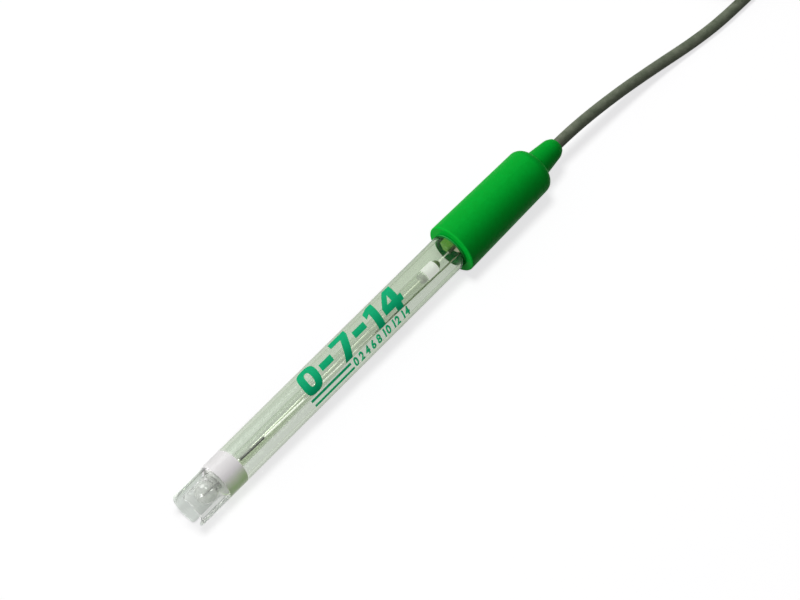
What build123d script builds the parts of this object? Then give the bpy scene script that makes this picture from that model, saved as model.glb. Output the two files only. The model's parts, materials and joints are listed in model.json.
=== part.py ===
from build123d import *
import math
import os

os.makedirs("parts", exist_ok=True)

# Combination pH electrode, 12 mm shaft, lying on a bench. Millimetres, +Z up.
# It rests on the rim of its guard and on the rim of its end cap, so its axis rises gently towards the cap.
# Along the electrode, u is the distance from the tip. Along the plug, w is the distance from the boot's rear.

# Clearances
slip = 0.05  # radial, between pieces that are pushed or cast together
running = 0.08  # radial, between the coupling sleeve and what it turns on

# Construction
overshoot = 1.0  # how far a cutting profile runs past what it cuts
quarter_middle = math.sqrt(0.5)  # cosine and sine of half a right angle

# Body tube with its guard
tube_radius = 6.0
tube_wall = 1.0
tube_in_cap = 12.0  # how far the tube goes into the end cap
tube_seat_depth = 0.5  # the end that is glued into the cap is turned down by this
tube_seat_start = 0.3  # from the step to the cap's mouth
guard_length = 11.8
slot_width = 2.8
slot_roll = -32  # degrees from straight up; the cut makes two opposite slots
finger_round = 0.9
rim_round = 0.25

# White junction plug
junction_length = 7.5
junction_chamfer = 0.3

# Glass stem with its bulb
stem_radius = 2.2
stem_wall = 0.5
bulb_radius = 3.5
bulb_wall = 0.4
bulb_recess = 4.2  # from the guard's mouth to the bulb

# Stopper in the top of the stem
stopper_head_radius = 1.95
stopper_head_length = 5.0
stopper_nose_length = 1.5
stopper_round = 0.3
sealant_radius = 1.5
sealant_height = 1.8
joint_above_sealant = 4.35  # bare wire between the sealant and the joint

# Wires and their silver chloride beads
wire_radius = 0.25
wire_slip = 0.03
inner_bead_radius = 0.45
inner_bead_length = 6.0
inner_bead_gap = 1.5  # from the glass at the bulb's front to the bead
wire_in_bead = 4.5
bead_round = 0.2
reference_offset = 3.9  # from the electrode's axis
reference_low_roll = 25
reference_high_roll = 70
reference_bead_radius = 0.42
reference_bead_length = 10.0
reference_gap = 1.0  # from the junction plug to the bead

# Cable core, joint and seal at the top of the tube
joint_radius = 0.7
joint_length = 4.0
joint_overlap = 1.8
core_radius = 1.5
core_below_seal = 2.5
seal_length = 7.0
screen_lead_radius = 0.4

# End cap
cap_mouth = 115.1  # from the tip
cap_mouth_radius = 8.4
cap_body_length = 35.5
cap_shoulder_radius = 7.75
cap_shoulder_length = 3.8
cap_shoulder_corner = 2.88  # from the body's end to the corner under the rounding
cap_shoulder_round = 3.1
neck_length = 10.1
neck_base_radius = 4.45
neck_base_round = 1.0
neck_end_radius = 3.45
neck_nose_length = 1.7
neck_nose_radius = 2.5
neck_round = 4.0
neck_nose_round = 0.7
cap_lip_round = 0.45
cap_cavity_radius = 5.2
cap_cavity_floor = 1.5  # from the cavity's end to the shoulder

# Cable
cable_radius = 1.8
cable_length = 1000.0
jacket_in_cavity = 3.0
bend_share = 0.45  # share of the shorter leg that each bend takes

# Free route of the cable from the neck's end, as offsets in x, y and z
cable_offsets = [
    (8.4, 0.0, 0.175),
    (28.0, -0.7, -2.4),
    (46.0, -2.0, -5.6),
    (64.0, -4.4, -7.6),
    (78.0, -6.0, -7.2),
    (88.0, -6.0, -7.2),
]

# Hank that holds the rest of the cable
hank_inner_turn = 14.4  # bend radius of the cable's centre line
hank_inner_turns = 2
hank_outer_turns = 3
hank_lead_in = 12.0  # straight cable past each end of the straight runs
boot_from_hank = 5.0
tie_thickness = 0.4
tie_width = 4.0
tie_slip = 0.05
tie_tab_length = 5.0
tie_tab_root = 0.1  # how far the loose end reaches into the band

# Bayonet plug
boot_length = 15.0
boot_rear_radius = 2.8
boot_front_radius = 4.4
boot_first_groove = 1.3
boot_groove_pitch = 2.3
boot_groove_width = 1.1
boot_groove_depth = 0.55
boot_grooves = 4
ferrule_start = 9.2
ferrule_length = 6.6
ferrule_radius = 3.2
barrel_radius = 2.6
barrel_bore_radius = 1.9
ferrule_gap = 0.2  # between the ferrule and the shell's shoulder
shell_shoulder_radius = 4.9
shell_shoulder_length = 6.0
shell_neck_radius = 4.05
shell_bore_radius = 3.3
shell_floor = 1.5
finger_length = 6.5
finger_slit = 0.5
contact_length = 7.3  # from the front of the coupling's chamber to the fingers' ends
insulator_length = 9.0
pin_radius = 0.68
pin_reach = 5.6
pin_foot = 1.0  # from the insulator's rear to the pin's
pin_tip = 0.8
coupling_gap = 0.3
coupling_length = 13.0
coupling_radius = 7.25
coupling_nose_radius = 6.95
coupling_nose_length = 4.5
coupling_edge = 0.3
coupling_lip_length = 2.0
coupling_chamber_radius = 5.75
coupling_chamber_length = 3.0
coupling_bore_radius = 4.95
coupling_grip_count = 24
coupling_grip_radius = 0.45
coupling_grip_depth = 0.32
coupling_grip_end = 1.0  # from the grooves' ends to the nose
cam_width = 2.2
cam_depth = 0.75
cam_entry_length = 2.6
cam_rise = 3.2
cam_turn = 80  # degrees
washer_thickness = 0.4
washer_dish = 0.5
ring_thickness = 0.7
ring_groove_depth = 0.35
ring_setback = 0.6  # from the ring to the front of the coupling's chamber
gasket_thickness = 0.9

# Places along the electrode
tube_bore = tube_radius - tube_wall
tube_end = cap_mouth + tube_in_cap
tube_seat_radius = tube_radius - tube_seat_depth
junction_top = guard_length + junction_length
stem_bore = stem_radius - stem_wall
bulb_centre = bulb_recess + bulb_radius
seal_start = tube_end - seal_length
core_start = seal_start - core_below_seal
joint_start = core_start - joint_length
sealant_top = joint_start - joint_above_sealant
stopper_top = sealant_top - sealant_height
stem_top = stopper_top - stopper_head_length
inner_wire_end = joint_start + joint_overlap
inner_bead_start = bulb_recess + bulb_wall + inner_bead_gap
inner_bead_end = inner_bead_start + inner_bead_length
cap_body_end = cap_mouth + cap_body_length
neck_start = cap_body_end + cap_shoulder_length
neck_end = neck_start + neck_length
cavity_end = cap_body_end - cap_cavity_floor
jacket_start = cavity_end - jacket_in_cavity

# Places along the plug
ferrule_end = ferrule_start + ferrule_length
shoulder_start = ferrule_end + ferrule_gap
neck_from = shoulder_start + shell_shoulder_length
coupling_start = neck_from + coupling_gap
coupling_end = coupling_start + coupling_length
lip_end = coupling_start + coupling_lip_length
chamber_end = lip_end + coupling_chamber_length
contact_end = chamber_end + contact_length
insulator_start = shoulder_start + shell_floor
insulator_end = insulator_start + insulator_length
ring_start = chamber_end - ring_thickness - ring_setback
ring_end = ring_start + ring_thickness

# Rest pose: the guard's rim and the cap's rim both touch the bench
rise = math.atan2(cap_mouth_radius - tube_radius, cap_mouth)
tip_height = tube_radius * math.cos(rise)
half_length = neck_end * math.cos(rise) / 2
tip = Vector(-half_length, 0, tip_height)
along = Vector(math.cos(rise), 0, math.sin(rise))
shaft_axis = Axis(tip, along)
shaft_side = Plane(origin=tip, x_dir=along, z_dir=(0, -1, 0))
shaft_up = shaft_side.y_dir


def on_shaft(u, offset=0.0, roll=0.0):
    """The point at u, offset from the electrode's axis at a roll in degrees from straight up."""
    return tip + along * u + shaft_up.rotate(shaft_axis, roll) * offset


def straight_plane(start, end):
    """A plane at start that faces end."""
    return Plane(origin=start, z_dir=end - start)


def turned_sleeve(side, axis, start, end, inner, outer):
    """A sleeve turned about axis, from start to end along the side plane's x."""
    with BuildPart() as sleeve:
        with BuildSketch(side):
            with Locations(((start + end) / 2, (inner + outer) / 2)):
                Rectangle(end - start, outer - inner)
        revolve(axis=axis)
    return sleeve


# Body tube, with the guard's slots open at the mouth
with BuildPart() as body_tube:
    with BuildSketch(shaft_side):
        with BuildLine():
            Polyline(
                (0, tube_bore),
                (0, tube_radius),
                (cap_mouth - tube_seat_start, tube_radius),
                (cap_mouth - tube_seat_start, tube_seat_radius),
                (tube_end, tube_seat_radius),
                (tube_end, tube_bore),
                close=True,
            )
        make_face()
    revolve(axis=shaft_axis)
    slot_half = slot_width / 2
    flare = finger_round * (1 - quarter_middle)
    slot_up = shaft_up.rotate(shaft_axis, slot_roll)
    with BuildSketch(Plane(origin=tip, x_dir=along, z_dir=slot_up)):
        with BuildLine():
            Line((-overshoot, slot_half + finger_round), (0, slot_half + finger_round))
            ThreePointArc(
                (0, slot_half + finger_round),
                (flare, slot_half + flare),
                (finger_round, slot_half),
            )
            Line((finger_round, slot_half), (guard_length - slot_half, slot_half))
            ThreePointArc(
                (guard_length - slot_half, slot_half),
                (guard_length, 0),
                (guard_length - slot_half, -slot_half),
            )
            Line((guard_length - slot_half, -slot_half), (finger_round, -slot_half))
            ThreePointArc(
                (finger_round, -slot_half),
                (flare, -slot_half - flare),
                (0, -slot_half - finger_round),
            )
            Polyline(
                (0, -slot_half - finger_round),
                (-overshoot, -slot_half - finger_round),
                (-overshoot, slot_half + finger_round),
            )
        make_face()
    extrude(amount=tube_radius + overshoot, both=True, mode=Mode.SUBTRACT)
    rim_edges = body_tube.edges().group_by(shaft_axis)[0].filter_by(GeomType.CIRCLE)
    chamfer(rim_edges, rim_round)

# Junction plug: the porous ring between the stem and the tube
with BuildPart() as junction_plug:
    with BuildSketch(shaft_side):
        with Locations(
            (
                guard_length + junction_length / 2,
                (stem_radius + tube_bore) / 2,
            )
        ):
            Rectangle(junction_length, tube_bore - stem_radius - 2 * slip)
    revolve(axis=shaft_axis)
    outer_edges = junction_plug.edges().filter_by(GeomType.CIRCLE).sort_by(SortBy.RADIUS)[-2:]
    chamfer(outer_edges, junction_chamfer)

# Glass stem: a tube whose end is blown out into a thin bulb
bulb_inner = bulb_radius - bulb_wall
bulb_meets_stem = bulb_centre + math.sqrt(bulb_radius**2 - stem_radius**2)
bulb_meets_bore = bulb_centre + math.sqrt(bulb_inner**2 - stem_bore**2)
with BuildPart() as glass_stem:
    with BuildSketch(shaft_side):
        with BuildLine():
            ThreePointArc(
                (bulb_recess, 0),
                (bulb_centre, bulb_radius),
                (bulb_meets_stem, stem_radius),
            )
            Polyline(
                (bulb_meets_stem, stem_radius),
                (stem_top, stem_radius),
                (stem_top, stem_bore),
                (bulb_meets_bore, stem_bore),
            )
            ThreePointArc(
                (bulb_meets_bore, stem_bore),
                (bulb_centre, bulb_inner),
                (bulb_recess + bulb_wall, 0),
            )
            Line((bulb_recess + bulb_wall, 0), (bulb_recess, 0))
        make_face()
    revolve(axis=shaft_axis)

# Stem stopper: a nose in the stem's bore under a wider head
with BuildPart() as stem_stopper:
    with BuildSketch(shaft_side):
        with BuildLine():
            Polyline(
                (stem_top - stopper_nose_length, wire_radius + wire_slip),
                (stem_top - stopper_nose_length, stem_bore - slip),
                (stem_top, stem_bore - slip),
                (stem_top, stopper_head_radius),
                (stopper_top, stopper_head_radius),
                (stopper_top, wire_radius + wire_slip),
                close=True,
            )
        make_face()
    revolve(axis=shaft_axis)
    head_edges = stem_stopper.edges().filter_by(GeomType.CIRCLE).sort_by(SortBy.RADIUS)[-2:]
    fillet(head_edges.sort_by(shaft_axis)[-1], stopper_round)

# Bead of sealant round the wire on the stopper
with BuildPart() as stopper_sealant:
    with BuildSketch(shaft_side):
        with BuildLine():
            hole = wire_radius + wire_slip
            Line((stopper_top, hole), (stopper_top, sealant_radius))
            ThreePointArc(
                (stopper_top, sealant_radius),
                (
                    stopper_top + sealant_height * quarter_middle,
                    sealant_radius * quarter_middle,
                ),
                (sealant_top, hole),
            )
            Line((sealant_top, hole), (stopper_top, hole))
        make_face()
    revolve(axis=shaft_axis)

# Inner bead, with a blind hole for the wire
with BuildPart() as inner_bead:
    with BuildSketch(shaft_side):
        with Locations(((inner_bead_start + inner_bead_end) / 2, inner_bead_radius / 2)):
            Rectangle(inner_bead_length, inner_bead_radius)
    revolve(axis=shaft_axis)
    fillet(inner_bead.edges().filter_by(GeomType.CIRCLE), bead_round)
    with BuildSketch(Plane(origin=on_shaft(inner_bead_end), z_dir=along)):
        Circle(wire_radius + wire_slip)
    extrude(amount=-wire_in_bead, mode=Mode.SUBTRACT)

# Inner wire, from the bead to the joint with the cable's core
with BuildPart() as inner_wire:
    with BuildSketch(Plane(origin=on_shaft(inner_bead_end - wire_in_bead), z_dir=along)):
        Circle(wire_radius)
    extrude(amount=inner_wire_end - inner_bead_end + wire_in_bead)

# Reference wire: straight, from low at the junction to one side at the seal
reference_low = on_shaft(junction_top + reference_gap, reference_offset, reference_low_roll)
reference_high = on_shaft(tube_end, reference_offset, reference_high_roll)
reference_plane = straight_plane(reference_low, reference_high)
reference_length = (reference_high - reference_low).length
with BuildPart() as reference_bead:
    with BuildSketch(reference_plane):
        Circle(reference_bead_radius)
    extrude(amount=reference_bead_length)
    fillet(reference_bead.edges().filter_by(GeomType.CIRCLE), bead_round)
    with BuildSketch(reference_plane.offset(reference_bead_length)):
        Circle(wire_radius + wire_slip)
    extrude(amount=-wire_in_bead, mode=Mode.SUBTRACT)

wire_start = reference_bead_length - wire_in_bead
with BuildPart() as reference_wire:
    with BuildSketch(reference_plane.offset(wire_start)):
        Circle(wire_radius)
    extrude(amount=reference_length - wire_start)

# Crimped joint, a closed sleeve with a blind hole for the inner wire
with BuildPart() as core_joint:
    with BuildSketch(shaft_side):
        with Locations((joint_start + joint_length / 2, joint_radius / 2)):
            Rectangle(joint_length, joint_radius)
    revolve(axis=shaft_axis)
    with BuildSketch(Plane(origin=on_shaft(joint_start), z_dir=along)):
        Circle(wire_radius + wire_slip)
    extrude(amount=joint_overlap, mode=Mode.SUBTRACT)

# Seal in the top of the tube, cast round the core and the reference wire
with BuildPart() as tube_seal:
    with BuildSketch(shaft_side):
        with Locations((seal_start + seal_length / 2, (core_radius + tube_bore) / 2)):
            Rectangle(seal_length, tube_bore - core_radius - 2 * slip)
    revolve(axis=shaft_axis)
    with BuildSketch(reference_plane):
        Circle(wire_radius + wire_slip)
    extrude(amount=reference_length + overshoot, mode=Mode.SUBTRACT)

# Core insulation and the jacket's end inside the cap
core_insulation = turned_sleeve(shaft_side, shaft_axis, core_start, neck_end, 0, core_radius)
cable_jacket_end = turned_sleeve(
    shaft_side, shaft_axis, jacket_start, neck_end, core_radius + slip, cable_radius
)

# Screen lead, from the reference wire to the cable's screen at the jacket's end
lead_start = reference_high + along * slip
lead_end = on_shaft(jacket_start - slip, cable_radius + screen_lead_radius, reference_high_roll)
with BuildPart() as screen_lead:
    with BuildSketch(straight_plane(lead_start, lead_end)):
        Circle(screen_lead_radius)
    extrude(amount=(lead_end - lead_start).length)

# End cap: one soft moulding with the cable's neck
with BuildPart() as end_cap:
    with BuildSketch(shaft_side):
        with BuildLine():
            shoulder_corner = (cap_body_end + cap_shoulder_corner, cap_shoulder_radius)
            FilletPolyline(
                (cap_mouth, tube_seat_radius + slip),
                (cap_mouth, cap_mouth_radius),
                shoulder_corner,
                (neck_start, neck_base_radius),
                (neck_end - neck_nose_length, neck_end_radius),
                (neck_end, neck_nose_radius),
                (neck_end, cable_radius + slip),
                radius=[
                    cap_lip_round,
                    cap_shoulder_round,
                    neck_base_round,
                    neck_round,
                    neck_nose_round,
                ],
            )
            Polyline(
                (neck_end, cable_radius + slip),
                (cavity_end, cable_radius + slip),
                (cavity_end, cap_cavity_radius),
                (tube_end, cap_cavity_radius),
                (tube_end, tube_seat_radius + slip),
                (cap_mouth, tube_seat_radius + slip),
            )
        make_face()
    revolve(axis=shaft_axis)

# Free cable from the neck to the hank
cable_start = on_shaft(neck_end)
route = [cable_start] + [cable_start + Vector(*offset) for offset in cable_offsets]
turns = []
for before, corner, after in zip(route, route[1:], route[2:]):
    turn = math.radians((corner - before).get_angle(after - corner))
    shorter = min((corner - before).length, (after - corner).length)
    turns.append(bend_share * shorter / math.tan(turn / 2))
print("cable bend radii:", [round(radius, 1) for radius in turns])
with BuildPart() as cable_lead:
    with BuildLine() as lead_path:
        FilletPolyline(*route, radius=turns)
    with BuildSketch(Plane(origin=route[0], z_dir=route[1] - route[0])):
        Circle(cable_radius)
    sweep(path=lead_path.wires()[0])

# Hank: two layers of two turns and a fifth turn on the outside on top
cable_diameter = 2 * cable_radius
hank_outer_turn = hank_inner_turn + cable_diameter
hank_bottom = tie_thickness
lead_length = lead_path.wires()[0].length
plug_start = hank_lead_in + boot_from_hank
loose_length = lead_length + hank_lead_in + plug_start + ferrule_start
round_length = 2 * math.pi * (
    hank_outer_turns * hank_outer_turn + hank_inner_turns * hank_inner_turn
)
hank_runs = 2 * (hank_outer_turns + hank_inner_turns) + 1
hank_straight = (cable_length - loose_length - round_length) / hank_runs
hank_side_y = route[-1].Y
hank_near = route[-1].X + hank_lead_in
hank_far = hank_near + hank_straight
hank_middle = ((hank_near + hank_far) / 2, hank_side_y + hank_outer_turn)
hank_out = hank_outer_turn + cable_radius
hank_between = hank_out - cable_diameter
hank_in = hank_inner_turn - cable_radius
hank_top = hank_bottom + 3 * cable_diameter

# The plug rests on its coupling, and its cable rises gently to the top of the hank
tail_height = hank_top - cable_radius
plug_rests_at = plug_start + coupling_end - coupling_nose_length
tail_drop = math.asin((tail_height - coupling_radius) / plug_rests_at)
tail_point = Vector(hank_far, hank_side_y, tail_height)
tail_along = Vector(math.cos(tail_drop), 0, -math.sin(tail_drop))
plug_axis = Axis(tail_point + tail_along * plug_start, tail_along)
plug_side = Plane(origin=plug_axis.position, x_dir=tail_along, z_dir=(0, -1, 0))

with BuildPart() as cable_hank:
    with BuildSketch(Plane.XY.offset(hank_bottom)):
        with Locations(hank_middle):
            SlotCenterToCenter(hank_straight, 2 * hank_out)
            SlotCenterToCenter(hank_straight, 2 * hank_in, mode=Mode.SUBTRACT)
    extrude(amount=2 * cable_diameter)
    with BuildSketch(Plane.XY.offset(hank_bottom + 2 * cable_diameter)):
        with Locations(hank_middle):
            SlotCenterToCenter(hank_straight, 2 * hank_out)
            SlotCenterToCenter(hank_straight, 2 * hank_between, mode=Mode.SUBTRACT)
    extrude(amount=cable_diameter)
    with BuildSketch(Plane(origin=route[-1], z_dir=(1, 0, 0))):
        Circle(cable_radius)
    extrude(amount=hank_lead_in)
    with BuildSketch(Plane(origin=tail_point, z_dir=tail_along)):
        Circle(cable_radius)
    extrude(amount=hank_lead_in)

# Cable from the hank into the plug's boot
tail_plane = Plane(origin=tail_point, z_dir=tail_along)
with BuildPart() as cable_tail:
    with BuildSketch(tail_plane.offset(hank_lead_in)):
        Circle(cable_radius)
    extrude(amount=plug_start - hank_lead_in + ferrule_start - slip)


def hank_tie(side_y, height):
    """A band round one side of the hank, with its loose end standing off the outer face."""
    inner_width = 2 * cable_diameter + 2 * tie_slip
    inner_height = height + tie_slip
    with BuildPart() as tie:
        middle = Vector(hank_middle[0], side_y, hank_bottom + inner_height / 2)
        with BuildSketch(Plane(origin=middle, x_dir=(0, 1, 0), z_dir=(1, 0, 0))):
            RectangleRounded(
                inner_width + 2 * tie_thickness, inner_height + 2 * tie_thickness, tie_thickness
            )
            Rectangle(inner_width, inner_height, mode=Mode.SUBTRACT)
            with Locations((0, inner_height / 2 + tie_thickness + tie_tab_length / 2 - tie_tab_root)):
                Rectangle(2 * tie_thickness, tie_tab_length)
        extrude(amount=tie_width / 2, both=True)
    return tie


hank_tie_near = hank_tie(hank_side_y + cable_radius, 3 * cable_diameter)
hank_tie_back = hank_tie(
    hank_middle[1] + hank_inner_turn + cable_radius, 3 * cable_diameter
)

# Boot: a soft tapered strain relief with rings cut into its rear half
with BuildPart() as plug_boot:
    with BuildSketch(plug_side):
        with BuildLine():
            Polyline(
                (0, cable_radius + slip),
                (0, boot_rear_radius),
                (boot_length, boot_front_radius),
                (boot_length, ferrule_radius + slip),
                (ferrule_start, ferrule_radius + slip),
                (ferrule_start, cable_radius + slip),
                close=True,
            )
        make_face()
    revolve(axis=plug_axis)
    for ring in range(boot_grooves):
        groove_at = boot_first_groove + boot_groove_pitch * ring
        groove_radius = boot_rear_radius + (
            boot_front_radius - boot_rear_radius
        ) * groove_at / boot_length
        with BuildSketch(plug_side):
            with Locations((groove_at, groove_radius)):
                Rectangle(boot_groove_width, 2 * boot_groove_depth)
        revolve(axis=plug_axis, mode=Mode.SUBTRACT)

crimp_ferrule = turned_sleeve(
    plug_side, plug_axis, ferrule_start, ferrule_end, barrel_radius + slip, ferrule_radius
)

# Shell: crimp barrel, shoulder, neck with the ring's groove, and the spring fingers of the outer contact
with BuildPart() as plug_shell:
    with BuildSketch(plug_side):
        with BuildLine():
            ring_bottom = shell_neck_radius - ring_groove_depth
            Polyline(
                (ferrule_start + ferrule_gap, barrel_bore_radius),
                (ferrule_start + ferrule_gap, barrel_radius),
                (shoulder_start, barrel_radius),
                (shoulder_start, shell_shoulder_radius),
                (neck_from, shell_shoulder_radius),
                (neck_from, shell_neck_radius),
                (ring_start, shell_neck_radius),
                (ring_start, ring_bottom),
                (ring_end, ring_bottom),
                (ring_end, shell_neck_radius),
                (contact_end, shell_neck_radius),
                (contact_end, shell_bore_radius),
                (insulator_start, shell_bore_radius),
                (insulator_start, barrel_bore_radius),
                close=True,
            )
        make_face()
    revolve(axis=plug_axis)
    with BuildSketch(Plane(origin=plug_axis.position + tail_along * contact_end, z_dir=tail_along)):
        with PolarLocations(0, 2, angular_range=180):
            Rectangle(2 * shell_neck_radius + overshoot, finger_slit)
    extrude(amount=-finger_length, mode=Mode.SUBTRACT)

plug_insulator = turned_sleeve(
    plug_side,
    plug_axis,
    insulator_start + slip,
    insulator_end,
    pin_radius + slip,
    shell_bore_radius - slip,
)

with BuildPart() as centre_pin:
    with BuildSketch(plug_side):
        with BuildLine():
            pin_end = insulator_end + pin_reach
            Polyline(
                (insulator_start + pin_foot, 0),
                (insulator_start + pin_foot, pin_radius),
                (pin_end - pin_tip, pin_radius),
                (pin_end, pin_radius / 2),
                (pin_end, 0),
                close=True,
            )
        make_face()
    revolve(axis=plug_axis)

# Dished spring washer between the coupling's lip and the retaining ring
washer_inner = shell_neck_radius + running
washer_outer = coupling_chamber_radius - running
with BuildPart() as spring_washer:
    with BuildSketch(plug_side):
        with BuildLine():
            washer_back = ring_start - slip
            Polyline(
                (washer_back, washer_inner),
                (washer_back - washer_dish, washer_outer),
                (washer_back - washer_dish - washer_thickness, washer_outer),
                (washer_back - washer_thickness, washer_inner),
                close=True,
            )
        make_face()
    revolve(axis=plug_axis)

retaining_ring = turned_sleeve(
    plug_side,
    plug_axis,
    ring_start + slip / 2,
    ring_end - slip / 2,
    shell_neck_radius - ring_groove_depth + slip,
    coupling_chamber_radius - 2 * running,
)

plug_gasket = turned_sleeve(
    plug_side,
    plug_axis,
    chamber_end + running,
    chamber_end + running + gasket_thickness,
    shell_neck_radius + slip,
    coupling_bore_radius - 2 * running,
)

# Coupling sleeve: turns freely on the shell's neck and draws the plug on by two cam slots
with BuildPart() as coupling_sleeve:
    with BuildSketch(plug_side):
        with BuildLine():
            nose_start = coupling_end - coupling_nose_length
            Polyline(
                (coupling_start, shell_neck_radius + running),
                (coupling_start, coupling_radius - coupling_edge),
                (coupling_start + coupling_edge, coupling_radius),
                (nose_start, coupling_radius),
                (nose_start + coupling_edge, coupling_nose_radius),
                (coupling_end, coupling_nose_radius),
                (coupling_end, coupling_bore_radius),
                (chamber_end, coupling_bore_radius),
                (chamber_end, coupling_chamber_radius),
                (lip_end, coupling_chamber_radius),
                (lip_end, shell_neck_radius + running),
                close=True,
            )
        make_face()
    revolve(axis=plug_axis)
    grip_plane = Plane(origin=plug_axis.position + tail_along * coupling_start, z_dir=tail_along)
    with BuildSketch(grip_plane):
        grip_ring = coupling_radius + coupling_grip_radius - coupling_grip_depth
        with PolarLocations(grip_ring, coupling_grip_count):
            Circle(coupling_grip_radius)
    grip_length = coupling_length - coupling_nose_length - coupling_grip_end
    extrude(amount=grip_length, mode=Mode.SUBTRACT)
    cam_middle = coupling_bore_radius + cam_depth / 2
    front_plane = Plane(origin=plug_axis.position + tail_along * coupling_end, z_dir=-tail_along)
    for half_turn in (0, 180):
        cam_plane = front_plane.rotated((0, 0, half_turn))
        with BuildSketch(cam_plane):
            with Locations((cam_middle, 0)):
                Rectangle(cam_depth + overshoot, cam_width)
        extrude(amount=cam_entry_length + cam_width / 2, mode=Mode.SUBTRACT)
        with BuildLine(cam_plane.offset(cam_entry_length)) as cam_path:
            Helix(cam_rise * 360 / cam_turn, cam_rise, cam_middle)
        ramp = cam_path.wires()[0]
        with BuildSketch(Plane(origin=ramp @ 0, x_dir=cam_plane.x_dir, z_dir=ramp % 0)):
            Rectangle(cam_depth + overshoot, cam_width)
        sweep(path=ramp, is_frenet=True, mode=Mode.SUBTRACT)
        hole_direction = (ramp @ 1) - plug_axis.position
        hole_direction = hole_direction - tail_along * hole_direction.dot(tail_along)
        with BuildSketch(Plane(origin=ramp @ 1, z_dir=hole_direction)):
            Circle(cam_width / 2)
        extrude(amount=coupling_radius, mode=Mode.SUBTRACT)

pieces = {
    "body_tube": body_tube,
    "junction_plug": junction_plug,
    "glass_stem": glass_stem,
    "stem_stopper": stem_stopper,
    "stopper_sealant": stopper_sealant,
    "inner_bead": inner_bead,
    "inner_wire": inner_wire,
    "reference_bead": reference_bead,
    "reference_wire": reference_wire,
    "core_joint": core_joint,
    "tube_seal": tube_seal,
    "core_insulation": core_insulation,
    "cable_jacket_end": cable_jacket_end,
    "screen_lead": screen_lead,
    "end_cap": end_cap,
    "cable_lead": cable_lead,
    "cable_hank": cable_hank,
    "cable_tail": cable_tail,
    "hank_tie_near": hank_tie_near,
    "hank_tie_back": hank_tie_back,
    "plug_boot": plug_boot,
    "crimp_ferrule": crimp_ferrule,
    "plug_shell": plug_shell,
    "plug_insulator": plug_insulator,
    "centre_pin": centre_pin,
    "spring_washer": spring_washer,
    "retaining_ring": retaining_ring,
    "plug_gasket": plug_gasket,
    "coupling_sleeve": coupling_sleeve,
}
for name, piece in pieces.items():
    piece.part.label = name
    export_step(piece.part, f"parts/{name}.step")
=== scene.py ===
import bpy
import bmesh
import json
import math
from mathutils import Matrix, Vector


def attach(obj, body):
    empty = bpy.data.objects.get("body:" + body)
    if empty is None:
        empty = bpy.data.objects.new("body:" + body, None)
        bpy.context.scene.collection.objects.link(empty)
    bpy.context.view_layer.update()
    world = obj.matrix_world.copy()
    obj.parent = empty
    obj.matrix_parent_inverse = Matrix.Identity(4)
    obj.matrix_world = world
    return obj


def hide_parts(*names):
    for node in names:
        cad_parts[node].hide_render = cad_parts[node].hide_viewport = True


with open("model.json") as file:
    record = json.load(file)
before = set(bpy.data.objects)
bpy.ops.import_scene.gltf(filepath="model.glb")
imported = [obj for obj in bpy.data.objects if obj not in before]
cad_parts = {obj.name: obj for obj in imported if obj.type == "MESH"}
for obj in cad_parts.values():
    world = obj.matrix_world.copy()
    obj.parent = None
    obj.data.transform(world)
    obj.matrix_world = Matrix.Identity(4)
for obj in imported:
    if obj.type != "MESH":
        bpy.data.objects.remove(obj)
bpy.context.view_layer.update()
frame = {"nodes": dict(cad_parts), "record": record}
nodes = frame["nodes"]
mm = 0.001

# Electrode's axis in the row frame, in mm: e1 is square to it on the camera's side, e2 points down the picture
cap_rim, tube_r, cap_at, neck_end = 8.4, 6.0, 115.1, 164.5
rise = math.atan2(cap_rim - tube_r, cap_at)
along = Vector((math.cos(rise), 0, math.sin(rise)))
tip = Vector((-neck_end * math.cos(rise) / 2, 0, tube_r * math.cos(rise)))
toward_camera = Vector((0, -0.390, 0.921))
e1 = (toward_camera - along * toward_camera.dot(along)).normalized()
e2 = along.cross(e1) * -1
if e2.y > 0:
    e2 = -e2


def on_shaft(u, r=0.0, phi=0.0):
    """The point at u mm, r mm off the axis, phi degrees round it from the side that faces the camera."""
    a = math.radians(phi)
    return (tip + along * u + (e1 * math.cos(a) + e2 * math.sin(a)) * r) * mm


# Camera at the photograph's angle, on a point of the axis, and set off sideways to the photograph's frame
azimuth, elevation, distance = math.radians(-49.23), math.radians(57.12), 900
focal_px, picture_px, sensor_width = 3080.9, 800, 36
aim_u, aim_rise, off_right, off_up = 75, math.radians(1.27), 11.0, 10.9
back = Vector((
    math.sin(azimuth) * math.cos(elevation),
    -math.cos(azimuth) * math.cos(elevation),
    math.sin(elevation),
))
right = Vector((math.cos(azimuth), math.sin(azimuth), 0))
up = back.cross(right)
aim = Vector((tip.x + aim_u * math.cos(aim_rise), 0, tube_r + aim_u * math.sin(aim_rise)))
camera_data = bpy.data.cameras.new("camera")
camera_data.lens = focal_px / picture_px * sensor_width
camera_data.sensor_width = sensor_width
camera_data.clip_start = 0.05
camera_data.clip_end = 20
camera = bpy.data.objects.new("camera", camera_data)
camera.location = (aim + back * distance + right * off_right + up * off_up) * mm
camera.rotation_mode = "QUATERNION"
camera.rotation_quaternion = Matrix((right, up, back)).transposed().to_quaternion()
bpy.context.scene.collection.objects.link(camera)
bpy.context.scene.camera = camera

# Cable: free lead, hank of five turns and a last run, and the tail into the plug's boot
neck = tip + along * neck_end
lead = [(0, 0, 0), (8.4, 0, 0.175), (28, -0.7, -2.4), (46, -2, -5.6), (64, -4.4, -7.6), (78, -6, -7.2)]
points = [neck + Vector(p) for p in lead]
cable_r = 1.8
outer, inner, layer = 18.0, 14.4, 2 * cable_r
near_x, far_x, middle_y, low_z = neck.x + 100, neck.x + 132.07, 12.0, 2.2
inset = 3  # from a turn to the nearest point of the straight run


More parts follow.
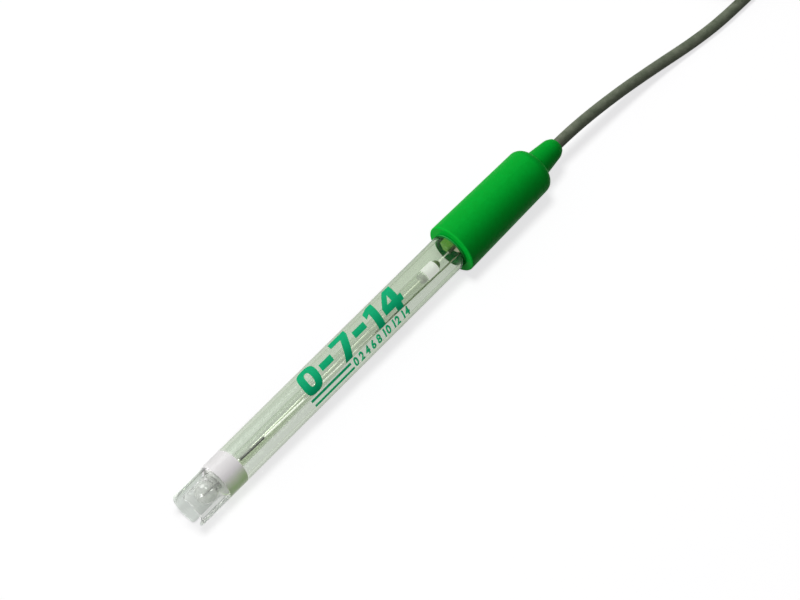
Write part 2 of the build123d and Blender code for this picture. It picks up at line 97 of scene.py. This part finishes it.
def bend_over(x, way, r0, r1, z0, z1):
    """Control points of a half turn at x, from radius r0 at z0 to r1 at z1; way is 1 at the far end."""
    made = []
    for k in range(4):
        part = (k + 0.5) / 4
        r = (r0 + (r1 - r0) * part) / math.cos(math.pi / 8)
        a = math.pi * part
        y = -math.cos(a) * r * way
        made.append(Vector((x + math.sin(a) * r * way, middle_y + y, z0 + (z1 - z0) * part)))
    return made


turns = [
    (outer, outer, inner, 0, 0, 0),
    (inner, inner, inner, 0, 0, 1),
    (inner, inner, outer, 1, 1, 1),
    (outer, outer, inner, 1, 1, 2),
    (inner, outer, outer, 2, 2, 2),
]
for r0, r1, r2, l0, l1, l2 in turns:
    z0, z1, z2 = (low_z + layer * n for n in (l0, l1, l2))
    points.append(Vector((near_x + inset, middle_y - r0, z0)))
    points.append(Vector((far_x - inset, middle_y - r0, z0)))
    points += bend_over(far_x, 1, r0, r1, z0, z1)
    points.append(Vector((far_x - inset, middle_y + r1, z1)))
    points.append(Vector((near_x + inset, middle_y + r1, z1)))
    points += bend_over(near_x, -1, r1, r2, z1, z2)
tail = Vector((far_x, middle_y - outer, low_z + 2 * layer))
plug_start, coupling_middle, ferrule_start, coupling_r, bend_out = 17, 30.8, 9.2, 7.25, 6
droop = math.asin((tail.z - coupling_r) / (plug_start + coupling_middle))
tail_along = Vector((math.cos(droop), 0, -math.sin(droop)))
points.append(tail + Vector((near_x + inset - far_x, 0, 0)))
points.append(tail - Vector((inset, 0, 0)))
points.append(tail + tail_along * bend_out)
points.append(tail + tail_along * (plug_start + ferrule_start))

cable_data = bpy.data.curves.new("cable", "CURVE")
cable_data.dimensions = "3D"
cable_data.bevel_depth = 1.0  # times each point's radius
cable_data.bevel_resolution = 8
cable_data.resolution_u = 10
spline = cable_data.splines.new("NURBS")
spline.points.add(len(points) - 1)
for control, p in zip(spline.points, points):
    control.co = (*(p * mm), 1)
    control.radius = cable_r * mm
spline.order_u = 3
spline.use_endpoint_u = True
cable = bpy.data.objects.new("cable", cable_data)
bpy.context.scene.collection.objects.link(cable)
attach(cable, "electrode")
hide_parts("cable_lead", "cable_hank", "cable_tail")


# Materials
def material(name, colour, roughness=0.5, **sockets):
    """A node material with a Principled shader; returns it with its tree and shader."""
    made = bpy.data.materials.new(name)
    made.use_nodes = True
    shader = made.node_tree.nodes["Principled BSDF"]
    shader.inputs["Base Color"].default_value = (*colour, 1)
    shader.inputs["Roughness"].default_value = roughness
    for socket, value in sockets.items():
        shader.inputs[socket.replace("_", " ")].default_value = value
    return made, made.node_tree, shader


def place(tree, scale=(1, 1, 1)):
    """Object coordinates times scale."""
    coordinates = tree.nodes.new("ShaderNodeTexCoord")
    mapping = tree.nodes.new("ShaderNodeMapping")
    mapping.inputs["Scale"].default_value = scale
    tree.links.new(coordinates.outputs["Object"], mapping.inputs["Vector"])
    return mapping.outputs["Vector"]


def noise(tree, scale, detail=3, stretch=(1, 1, 1)):
    """A noise in object coordinates, scale per metre."""
    node = tree.nodes.new("ShaderNodeTexNoise")
    node.inputs["Scale"].default_value = scale
    node.inputs["Detail"].default_value = detail
    tree.links.new(place(tree, stretch), node.inputs["Vector"])
    return node.outputs["Fac"]


def spread(tree, value, low, high, to_low, to_high):
    """value mapped from low..high to to_low..to_high, clamped."""
    node = tree.nodes.new("ShaderNodeMapRange")
    for socket, number in zip(("From Min", "From Max", "To Min", "To Max"), (low, high, to_low, to_high)):
        node.inputs[socket].default_value = number
    tree.links.new(value, node.inputs["Value"])
    return node.outputs["Result"]


def blend(tree, factor, first, second):
    """first to second by factor; each a colour or a socket."""
    node = tree.nodes.new("ShaderNodeMix")
    node.data_type = "RGBA"
    tree.links.new(factor, node.inputs["Factor"])
    for socket, value in ((node.inputs[6], first), (node.inputs[7], second)):
        if isinstance(value, tuple):
            socket.default_value = (*value, 1)
        else:
            tree.links.new(value, socket)
    return node.outputs[2]


def product(tree, first, second):
    """first times second."""
    node = tree.nodes.new("ShaderNodeMath")
    node.operation = "MULTIPLY"
    tree.links.new(first, node.inputs[0])
    tree.links.new(second, node.inputs[1])
    return node.outputs[0]


def bump(tree, shader, height, distance, strength):
    """Bump from height, in metres of distance."""
    node = tree.nodes.new("ShaderNodeBump")
    node.inputs["Distance"].default_value = distance
    node.inputs["Strength"].default_value = strength
    tree.links.new(height, node.inputs["Height"])
    tree.links.new(node.outputs["Normal"], shader.inputs["Normal"])


def plain(name, dark, light, roughness, grain, depth, **sockets):
    """Moulded material: two tones in a soft noise, roughness from it too, and a fine grain in relief."""
    made, tree, shader = material(name, light, roughness, **sockets)
    soft = spread(tree, noise(tree, grain / 12, 4), 0.3, 0.7, 0, 1)
    tree.links.new(blend(tree, soft, dark, light), shader.inputs["Base Color"])
    tree.links.new(spread(tree, soft, 0, 1, roughness * 0.9, roughness * 1.1), shader.inputs["Roughness"])
    bump(tree, shader, noise(tree, grain, 2), depth, 0.6)
    return made


def off_axis(tree, direction):
    """Distance in metres from the electrode's axis along a direction square to it."""
    node = tree.nodes.new("ShaderNodeVectorMath")
    node.operation = "DOT_PRODUCT"
    node.inputs[1].default_value = direction
    tree.links.new(place(tree), node.inputs[0])
    axis_at = direction.dot(tip) * mm
    return spread(tree, node.outputs["Value"], axis_at - 0.02, axis_at + 0.02, -0.02, 0.02)


def side(tree):
    """Distance in metres from the electrode's axis towards the side below it in the picture."""
    return off_axis(tree, e2)


def reach(tree):
    """Distance in metres along the electrode from its tip."""
    node = tree.nodes.new("ShaderNodeSeparateXYZ")
    tree.links.new(place(tree), node.inputs[0])
    return spread(tree, node.outputs["X"], tip.x * mm, tip.x * mm + 0.2, 0, 0.2)


def clear(name, colour, ior, inside, density, shade):
    """Glass or clear plastic, tinted inside; it lets the lamps' rays through, dimmed by shade."""
    made, tree, shader = material(name, colour, 0.03, IOR=ior, Transmission_Weight=1.0)
    absorb = tree.nodes.new("ShaderNodeVolumeAbsorption")
    absorb.inputs["Color"].default_value = (*inside, 1)
    absorb.inputs["Density"].default_value = density
    output = tree.nodes["Material Output"]
    tree.links.new(absorb.outputs["Volume"], output.inputs["Volume"])
    film = tree.nodes.new("ShaderNodeBsdfTransparent")
    film.inputs["Color"].default_value = (*shade, 1)
    path = tree.nodes.new("ShaderNodeLightPath")
    surface = shader.outputs["BSDF"]
    for ray in ("Is Diffuse Ray", "Is Shadow Ray"):
        mix = tree.nodes.new("ShaderNodeMixShader")
        tree.links.new(path.outputs[ray], mix.inputs["Fac"])
        tree.links.new(surface, mix.inputs[1])
        tree.links.new(film.outputs["BSDF"], mix.inputs[2])
        surface = mix.outputs["Shader"]
    tree.links.new(surface, output.inputs["Surface"])
    bump(tree, shader, noise(tree, 260, 2, (0.02, 1, 1)), 0.00005, 0.12)
    return made, tree, shader


def clear_tube():
    """The tube: darker towards the cap, with its upper side painted darker than its lower as painted shade,
    painted dark shade along its thin edges, a paler guard whose near wall is painted whiter as a painted
    highlight and whose upper rim has a painted glow, and green where it is in the cap.
    """
    made, tree, shader = clear(
        "clear_tube", (0.90, 0.915, 0.87), 1.2, (0.50, 0.60, 0.43), 120, (0.62, 0.625, 0.62),
    )
    from_tip, down = reach(tree), side(tree)
    past_guard = spread(tree, from_tip, 0.0105, 0.0135, 0, 1)
    upper_rim = spread(tree, down, -0.0052, -0.0040, 1, 0)
    in_cap = spread(tree, from_tip, 0.1143, 0.1144, 0, 1)
    guard_clear = spread(tree, upper_rim, 0, 1, 0.86, 0.45)
    clearness = blend(tree, past_guard, guard_clear, (1.0, 1.0, 1.0))
    tree.links.new(blend(tree, in_cap, clearness, (0.0, 0.0, 0.0)), shader.inputs["Transmission Weight"])
    tree.links.new(spread(tree, in_cap, 0, 1, 0.5, 0.05), shader.inputs["Specular IOR Level"])

    towards_cap = spread(tree, from_tip, 0.025, 0.112, 0, 1)
    # Painted shade: the tube's upper side is painted darker than its lower side, both darker towards the cap.
    above = blend(tree, towards_cap, (0.80, 0.845, 0.785), (0.745, 0.795, 0.71))
    under = blend(tree, towards_cap, (0.91, 0.935, 0.90), (0.84, 0.87, 0.82))
    tone_low = spread(tree, down, -0.003, 0.0005, 0, 1)
    tone_high = spread(tree, down, 0.0015, 0.003, 0, 1)
    tone = spread(tree, blend(tree, towards_cap, tone_low, tone_high), 0, 1, 0, 1)
    # Painted shade: a dark tone along the tube's thin upper and lower edges, darker towards the cap.
    outermost = tree.nodes.new("ShaderNodeMath")
    outermost.operation = "ABSOLUTE"
    tree.links.new(down, outermost.inputs[0])
    edge = spread(tree, outermost.outputs[0], 0.0054, 0.0057, 0, 1)
    edge_shade_tone = blend(tree, towards_cap, (0.70, 0.75, 0.65), (0.36, 0.44, 0.31))
    body = blend(tree, edge, blend(tree, tone, above, under), edge_shade_tone)

    ringed = spread(tree, from_tip, 0.0112, 0.0118, 0, 1)
    clear_again = spread(tree, from_tip, 0.0193, 0.0196, 0, 1)
    # Painted highlight: in the guard, the wall on the camera's side is painted whiter than the far wall.
    near_wall = spread(tree, off_axis(tree, e1), -0.0005, 0.0005, 0, 1)
    front = blend(tree, near_wall, (0.87, 0.91, 0.88), (1.0, 1.0, 1.0))
    front = blend(tree, ringed, front, (0.97, 0.96, 0.97))
    body = blend(tree, clear_again, front, body)
    tree.links.new(blend(tree, in_cap, body, (0.0, 0.42, 0.055)), shader.inputs["Base Color"])

    # Painted light: the guard's upper rim glows pale green; it is no lamp.
    guard_glow = spread(tree, from_tip, 0.0100, 0.0112, 0.3, 0)
    shader.inputs["Emission Color"].default_value = (0.80, 0.87, 0.78, 1)
    tree.links.new(product(tree, upper_rim, guard_glow), shader.inputs["Emission Strength"])
    return made


def stem_glass():
    """The stem and its bulb: the bulb is glossier, and the stem's lower half is painted olive as shade behind
    the ring, paler further up.
    """
    made, tree, shader = clear(
        "stem_glass", (0.95, 0.96, 0.94), 1.25, (0.50, 0.60, 0.42), 220, (0.93, 0.94, 0.93),
    )
    from_tip = reach(tree)
    tree.links.new(spread(tree, from_tip, 0.0125, 0.0165, 0.85, 1.0), shader.inputs["Transmission Weight"])
    tree.links.new(spread(tree, from_tip, 0.0125, 0.0135, 1.0, 0.0), shader.inputs["Coat Weight"])
    # Painted shade: the stem's lower half behind the ring is tinted olive, fading paler further from the tip.
    below = spread(tree, side(tree), -0.0002, 0.0003, 0, 1)
    behind = spread(tree, from_tip, 0.017, 0.02, 0, 1)
    fading = spread(tree, from_tip, 0.03, 0.065, 0, 1)
    lower_shade = blend(tree, fading, (0.81, 0.85, 0.75), (0.94, 0.955, 0.92))
    tone = blend(tree, product(tree, below, behind), (0.98, 0.985, 0.975), lower_shade)
    tree.links.new(tone, shader.inputs["Base Color"])
    return made


def silver_wire():
    """Silver with a painted glow near the axis, and painted dark olive shade on its lower side."""
    made, tree, shader = material(
        "silver_wire", (0.9, 0.9, 0.88), 0.22, Metallic=1.0, Emission_Color=(0.9, 0.92, 0.82, 1),
    )
    # Painted light: the wire glows near the axis; painted shade: low down it turns dark olive with no glow.
    low_shade = spread(tree, side(tree), 0.0012, 0.0018, 0, 1)
    tree.links.new(spread(tree, low_shade, 0, 1, 0.3, 0.0), shader.inputs["Emission Strength"])
    tarnish = spread(tree, noise(tree, 900, 3), 0.3, 0.7, 0, 1)
    bright = blend(tree, tarnish, (0.82, 0.81, 0.78), (0.95, 0.95, 0.93))
    tree.links.new(blend(tree, low_shade, bright, (0.22, 0.27, 0.17)), shader.inputs["Base Color"])
    return made


def stopper_white():
    """White head with a painted glow, and a greener nose inside the stem with a weaker painted glow."""
    made, tree, shader = material(
        "stopper_white", (0.95, 0.95, 0.95), 0.5, Emission_Color=(1.0, 0.97, 1.0, 1),
    )
    above_stem = spread(tree, reach(tree), 0.1023, 0.1026, 0, 1)
    mottled = spread(tree, noise(tree, 500, 4), 0.3, 0.7, 0, 1)
    white = blend(tree, mottled, (0.90, 0.91, 0.90), (0.96, 0.96, 0.96))
    tree.links.new(blend(tree, above_stem, (0.78, 0.84, 0.74), white), shader.inputs["Base Color"])
    # Painted light: the stopper glows, the head more than the nose.
    tree.links.new(spread(tree, above_stem, 0, 1, 0.3, 0.7), shader.inputs["Emission Strength"])
    bump(tree, shader, noise(tree, 6000, 2), 0.00001, 0.6)
    return made


def junction_edge():
    """The ring's outside: white above, painted green-olive shade on its lower side, and a painted glow all
    over that is greener low down.
    """
    made, tree, shader = material(
        "junction_edge", (0.93, 0.93, 0.91), 0.85, Specular_IOR_Level=0.1, Emission_Strength=0.30,
    )
    # Painted shade: the ring's lower side is tinted green-olive in a mottle; painted light: the whole ring
    # glows.
    ring_low_shade_mask = spread(tree, side(tree), 0.0010, 0.0044, 0, 1)
    painted_low_shade = product(tree, ring_low_shade_mask, spread(tree, noise(tree, 500, 3), 0.3, 0.7, 0.75, 1))
    tree.links.new(blend(tree, painted_low_shade, (0.96, 0.93, 0.96), (0.62, 0.78, 0.42)), shader.inputs["Base Color"])
    tree.links.new(blend(tree, painted_low_shade, (1.0, 0.93, 1.0), (0.55, 0.80, 0.36)), shader.inputs["Emission Color"])
    bump(tree, shader, noise(tree, 6000, 2), 0.00001, 0.4)
    return made


def print_ink():
    """Green ink, painted lighter and glowing low down on the tube as painted light."""
    made, tree, shader = material(
        "print_ink", (0.0, 0.385, 0.16), 0.6, Specular_IOR_Level=0.1, Emission_Color=(0.0, 0.26, 0.09, 1),
    )
    mottled = spread(tree, noise(tree, 900, 3), 0.35, 0.65, 0, 1)
    upper = blend(tree, mottled, (0.0, 0.37, 0.15), (0.0, 0.405, 0.17))
    # Painted light: ink low down on the tube is lighter and glows.
    painted_light_low = spread(tree, side(tree), 0.0022, 0.0036, 0, 1)
    tree.links.new(blend(tree, painted_light_low, upper, (0.01, 0.60, 0.25)), shader.inputs["Base Color"])
    tree.links.new(spread(tree, painted_light_low, 0, 1, 0.0, 0.45), shader.inputs["Emission Strength"])
    bump(tree, shader, noise(tree, 6000, 2), 0.00001, 0.4)
    return made


def looks_by_slot():
    """Every material slot's look."""
    plains = [
        ("junction_white", (0.86, 0.87, 0.83), (0.93, 0.93, 0.91), 0.85, 9000, 0.00002, {}),
        ("sealant", (0.36, 0.48, 0.24), (0.52, 0.63, 0.38), 0.25, 3000, 0.00004, {"Transmission_Weight": 0.3}),
        ("silver_chloride", (0.80, 0.82, 0.76), (0.92, 0.94, 0.88), 0.7, 12000, 0.00003, {}),
        ("tinned_joint", (0.13, 0.20, 0.11), (0.20, 0.28, 0.17), 0.5, 9000, 0.00002, {"Metallic": 1.0}),
        # Painted light: the olive resin glows.
        ("resin_olive", (0.14, 0.42, 0.05), (0.34, 0.58, 0.16), 0.2, 4000, 0.00012, {
            "Transmission_Weight": 0.45, "IOR": 1.2,
            "Emission_Color": (0.12, 0.32, 0.04, 1), "Emission_Strength": 0.4,
        }),
        ("seal_resin", (0.004, 0.085, 0.022), (0.012, 0.13, 0.035), 0.35, 3000, 0.00002, {
            "Specular_IOR_Level": 0.2,
        }),
        # Painted light: the cream core glows.
        ("core_cream", (0.80, 0.77, 0.58), (0.90, 0.87, 0.70), 0.45, 6000, 0.00001, {
            "Emission_Color": (0.9, 0.88, 0.66, 1), "Emission_Strength": 0.3,
        }),
        ("cap_green", (0.0, 0.375, 0.026), (0.0, 0.405, 0.031), 0.5, 7000, 0.000008, {
            "Specular_IOR_Level": 0.04,
        }),
        ("cable_jacket", (0.105, 0.13, 0.085), (0.19, 0.215, 0.155), 0.7, 5200, 0.00006, {
            "Specular_IOR_Level": 0.2,
        }),
        ("tie_black", (0.012, 0.012, 0.012), (0.022, 0.022, 0.022), 0.45, 5000, 0.00003, {}),
        ("boot_black", (0.014, 0.014, 0.014), (0.026, 0.026, 0.025), 0.55, 5000, 0.00003, {}),
        ("plug_nickel", (0.60, 0.58, 0.53), (0.70, 0.68, 0.63), 0.24, 5000, 0.000006, {"Metallic": 1.0}),
        ("insulator_white", (0.82, 0.82, 0.79), (0.90, 0.90, 0.88), 0.4, 6000, 0.00001, {}),
        ("pin_gold", (0.78, 0.52, 0.18), (0.88, 0.62, 0.25), 0.22, 6000, 0.000004, {"Metallic": 1.0}),
        ("spring_bronze", (0.50, 0.30, 0.14), (0.62, 0.40, 0.20), 0.32, 6000, 0.00001, {"Metallic": 1.0}),
        ("gasket_red", (0.30, 0.03, 0.02), (0.42, 0.05, 0.03), 0.6, 5000, 0.00002, {}),
    ]
    made = {name: plain(name, *values, **sockets) for name, *values, sockets in plains}
    made.update(
        clear_tube=clear_tube(), stem_glass=stem_glass(),
        stopper_white=stopper_white(), silver_wire=silver_wire(),
    )
    return made


looks = looks_by_slot()
node_slot = {row["node"]: row["material_slot"] for row in frame["record"]["subparts"]}
for name, node in nodes.items():
    node.data.materials.clear()
    node.data.materials.append(looks[node_slot[name]])
cable_data.materials.append(looks["cable_jacket"])

# Thin sleeves seen through the tube: the junction's outside, and the core's end and a run of resin in the cap
def sleeve(name, inner, outer, start, end, look, first=0, last=360):
    """A thin sleeve round the electrode's axis, or the part of it between two angles."""
    full = last - first >= 360
    count = max(8, int((last - first) / 4))
    rings = count if full else count + 1
    corners = []
    for k in range(rings):
        phi = first + (last - first) * k / count
        for u, r in ((start, inner), (start, outer), (end, outer), (end, inner)):
            corners.append(on_shaft(u, r, phi))
    sides = []
    for k in range(count):
        a, b = 4 * k, 4 * ((k + 1) % rings)
        for c in range(4):
            d = (c + 1) % 4
            sides.append((a + c, a + d, b + d, b + c))
    if not full:
        sides.append((0, 1, 2, 3))
        sides.append(tuple(4 * (rings - 1) + c for c in (3, 2, 1, 0)))
    mesh = bpy.data.meshes.new(name)
    mesh.from_pydata(corners, [], sides)
    made = bmesh.new()
    made.from_mesh(mesh)
    bmesh.ops.recalc_face_normals(made, faces=made.faces)
    made.to_mesh(mesh)
    made.free()
    for face in mesh.polygons:
        face.use_smooth = True
    mesh.set_sharp_from_angle(angle=math.radians(40))
    mesh.materials.append(look)
    piece = bpy.data.objects.new(name, mesh)
    bpy.context.scene.collection.objects.link(piece)
    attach(piece, "electrode")


# The junction's outside carries painted shade low down and a painted glow; the core's end and the run of resin
# glow as painted light.
sleeve("junction_edge", 4.9, 5.04, 11.85, 19.25, junction_edge())
sleeve("core_end", 0.8, 2.2, 116.4, 117.7, looks["core_cream"])
sleeve("resin_run", 2.2, 4.98, 112.4, 119.5, looks["resin_olive"], -46, -12)

# Printed scale on the tube: large block numerals over a row of small ones and two stripes
ink = print_ink()
print_phi, print_r, print_thick, print_step = 19.5, 6.02, 0.05, 0.25
print_lean = 0.24  # of the large numerals


def wrap(mesh, name, lean=0.0):
    """A flat shape in mm, x along the tube and y round it, cut fine and laid on the tube as a thin skin."""
    made = bmesh.new()
    made.from_mesh(mesh)
    low = min(v.co.y for v in made.verts)
    high = max(v.co.y for v in made.verts)
    steps = int((high - low) / print_step)
    for k in range(1, steps):
        at = low + (high - low) * k / steps
        bmesh.ops.bisect_plane(
            made, geom=made.verts[:] + made.edges[:] + made.faces[:],
            plane_co=(0, at, 0), plane_no=(0, 1, 0),
        )
    bmesh.ops.remove_doubles(made, verts=made.verts, dist=0.001)
    skin = bmesh.ops.extrude_face_region(made, geom=made.faces[:])
    raised = {v for v in skin["geom"] if isinstance(v, bmesh.types.BMVert)}
    for v in made.verts:
        r = print_r + (print_thick if v in raised else 0)
        v.co = on_shaft(v.co.x + lean * v.co.y, r, print_phi - math.degrees(v.co.y / tube_r))
    bmesh.ops.recalc_face_normals(made, faces=made.faces)
    done = bpy.data.meshes.new(name)
    made.to_mesh(done)
    made.free()
    piece = bpy.data.objects.new(name, done)
    bpy.context.scene.collection.objects.link(piece)
    done.materials.append(ink)
    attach(piece, "electrode")


def flat_mesh(drawing):
    """The filled mesh of a flat curve or text."""
    flat = bpy.data.objects.new(drawing.name + "_flat", drawing)
    bpy.context.scene.collection.objects.link(flat)
    bpy.context.view_layer.update()
    mesh = bpy.data.meshes.new_from_object(flat.evaluated_get(bpy.context.evaluated_depsgraph_get()))
    bpy.data.objects.remove(flat)
    return mesh


def numeral(text, at, low, height, width, name):
    """Bold numerals from x = at, with their foot at y = low."""
    letters = bpy.data.curves.new(name, "FONT")
    letters.body = text
    letters.size = 10
    letters.offset = 0.4
    letters.resolution_u = 6
    mesh = flat_mesh(letters)
    x0, x1 = min(v.co.x for v in mesh.vertices), max(v.co.x for v in mesh.vertices)
    y0, y1 = min(v.co.y for v in mesh.vertices), max(v.co.y for v in mesh.vertices)
    for v in mesh.vertices:
        v.co.x = at + (v.co.x - x0) / (x1 - x0) * width
        v.co.y = low + (v.co.y - y0) / (y1 - y0) * height
    wrap(mesh, name)


def bar(x0, x1, y0, y1, name):
    """A printed bar."""
    mesh = bpy.data.meshes.new(name)
    mesh.from_pydata([(x0, y0, 0), (x1, y0, 0), (x1, y1, 0), (x0, y1, 0)], [], [(0, 1, 2, 3)])
    wrap(mesh, name)


def block(outlines, at, name):
    """A printed shape from closed outlines; one inside another makes a hole."""
    drawing = bpy.data.curves.new(name, "CURVE")
    drawing.dimensions = "2D"
    drawing.fill_mode = "BOTH"
    for outline in outlines:
        line = drawing.splines.new("POLY")
        line.points.add(len(outline) - 1)
        for point, (x, y) in zip(line.points, outline):
            point.co = (at + x, y, 0, 1)
        line.use_cyclic_u = True
    wrap(flat_mesh(drawing), name, print_lean)


def rounded(x, y, wide, high):
    """A squarish oval round x, y."""
    ring = []
    for k in range(48):
        a = 2 * math.pi * k / 48
        ca, sa = math.cos(a), math.sin(a)
        ring.append((
            x + wide / 2 * math.copysign(abs(ca) ** 0.7, ca),
            y + high / 2 * math.copysign(abs(sa) ** 0.7, sa),
        ))
    return ring


zero = [rounded(3.6, 4.3, 7.2, 8.6), rounded(3.6, 4.3, 2.2, 4.6)]
dash = [[(0, 3.2), (5.0, 3.2), (5.0, 5.4), (0, 5.4)]]
seven = [[(0, 8.6), (6.8, 8.6), (6.8, 6.5), (4.2, 0), (1.3, 0), (4.0, 6.4), (0, 6.4)]]
one = [[(1.7, 0), (4.4, 0), (4.4, 8.6), (2.4, 8.6), (0, 7.2), (0, 4.9), (1.7, 5.8)]]
four = [
    [
        (4.1, 0), (6.7, 0), (6.7, 1.6), (7.9, 1.6), (7.9, 3.7), (6.7, 3.7),
        (6.7, 8.6), (3.7, 8.6), (0, 3.8), (0, 1.6), (4.1, 1.6),
    ],
    [(2.3, 3.7), (4.1, 3.7), (4.1, 6.1)],
]
print_start = 47.3
large = [
    ("print_zero", zero, 0), ("print_dash_low", dash, 8.4), ("print_seven", seven, 14.8),
    ("print_dash_high", dash, 22.9), ("print_one", one, 29.2), ("print_four", four, 35.0),
]
for name, outlines, at in large:
    block(outlines, print_start + at, name)
numeral("0 2 4 6 8 10 12 14", 65.6, -3.5, 3.2, 24.3, "print_small")
bar(print_start + 0.3, 64.6, -1.45, -0.65, "print_stripe_upper")
bar(print_start + 0.8, 65.1, -3.6, -2.7, "print_stripe_lower")


# Floor: white where it is lit, and it keeps the shadow; to matt surfaces it is a darker bench
def shown(tree):
    """1 for a ray from the camera, also through glass or off gloss; 0 once it has met a matt surface."""
    path = tree.nodes.new("ShaderNodeLightPath")
    through = tree.nodes.new("ShaderNodeMath")
    through.operation = "MAXIMUM"
    first = tree.nodes.new("ShaderNodeMath")
    first.operation = "LESS_THAN"
    first.inputs[1].default_value = 0.5
    both = tree.nodes.new("ShaderNodeMath")
    both.operation = "MULTIPLY"
    seen = tree.nodes.new("ShaderNodeMath")
    seen.operation = "ADD"
    seen.use_clamp = True
    tree.links.new(path.outputs["Is Glossy Ray"], through.inputs[0])
    tree.links.new(path.outputs["Is Transmission Ray"], through.inputs[1])
    tree.links.new(path.outputs["Diffuse Depth"], first.inputs[0])
    tree.links.new(through.outputs[0], both.inputs[0])
    tree.links.new(first.outputs[0], both.inputs[1])
    tree.links.new(path.outputs["Is Camera Ray"], seen.inputs[0])
    tree.links.new(both.outputs[0], seen.inputs[1])
    return seen.outputs[0]


floor_mesh = bpy.data.meshes.new("floor")
floor_half, floor_drop = 6, 0.00002
floor_corners = [(x * floor_half, y * floor_half, 0) for x, y in ((-1, -1), (1, -1), (1, 1), (-1, 1))]
floor_mesh.from_pydata(floor_corners, [], [(0, 1, 2, 3)])
floor = bpy.data.objects.new("floor", floor_mesh)
floor.location.z = -floor_drop
bpy.context.scene.collection.objects.link(floor)
floor_look, tree, shader = material("floor", (0.12, 0.12, 0.12), 1.0, Specular_IOR_Level=0.0)
lit = tree.nodes.new("ShaderNodeBsdfDiffuse")
lit.inputs["Color"].default_value = (0.93, 0.94, 0.92, 1)
glow = tree.nodes.new("ShaderNodeEmission")
glow.inputs["Color"].default_value = (0.715, 0.71, 0.72, 1)
glow.inputs["Strength"].default_value = 1.0
both_parts = tree.nodes.new("ShaderNodeAddShader")
tree.links.new(lit.outputs["BSDF"], both_parts.inputs[0])
tree.links.new(glow.outputs["Emission"], both_parts.inputs[1])
choose = tree.nodes.new("ShaderNodeMixShader")
tree.links.new(shown(tree), choose.inputs["Fac"])
tree.links.new(shader.outputs["BSDF"], choose.inputs[1])
tree.links.new(both_parts.outputs["Shader"], choose.inputs[2])
tree.links.new(choose.outputs["Shader"], tree.nodes["Material Output"].inputs["Surface"])
floor_mesh.materials.append(floor_look)

# World: white behind the object and in its gloss, and a soft grey light on everything else
world = bpy.data.worlds.new("world")
bpy.context.scene.world = world
world.use_nodes = True
tree = world.node_tree
sky = tree.nodes["Background"]
sky.inputs["Color"].default_value = (1, 1, 1, 1)
tree.links.new(spread(tree, shown(tree), 0, 1, 0.085, 1.0), sky.inputs["Strength"])


# Lamps: one overhead that casts the shadow, a broad key behind, and a low fill that faces the guard's mouth
lamp_away = 1.3


def lamp(name, direction, size, share):
    """A disc that lights a surface facing it to share of white."""
    data = bpy.data.lights.new(name, "AREA")
    data.shape = "DISK"
    data.size = size
    data.energy = share * math.pi**2 * (lamp_away**2 + (size / 2) ** 2)
    made = bpy.data.objects.new(name, data)
    made.location = Vector(direction).normalized() * lamp_away
    made.rotation_mode = "QUATERNION"
    made.rotation_quaternion = Vector(direction).to_track_quat("Z", "Y")
    bpy.context.scene.collection.objects.link(made)
    return made


lamp("overhead", (0.0, 0.12, 1.0), 0.42, 0.235)
key = lamp("key", (0.0, 0.74, 0.67), 0.9, 0.555)
fill = lamp("fill", (-0.97, 0.12, 0.22), 0.7, 0.76)

# The key and the fill are flagged off the bench, so that the overhead lamp alone casts the shadow
flag = bpy.data.collections.new("flagged_off")
flag.objects.link(floor)
flag.collection_objects[0].light_linking.link_state = "EXCLUDE"
for flagged in (key, fill):
    flagged.light_linking.receiver_collection = flag

view = bpy.context.scene.view_settings
view.view_transform = "Standard"

bpy.context.view_layer.update()
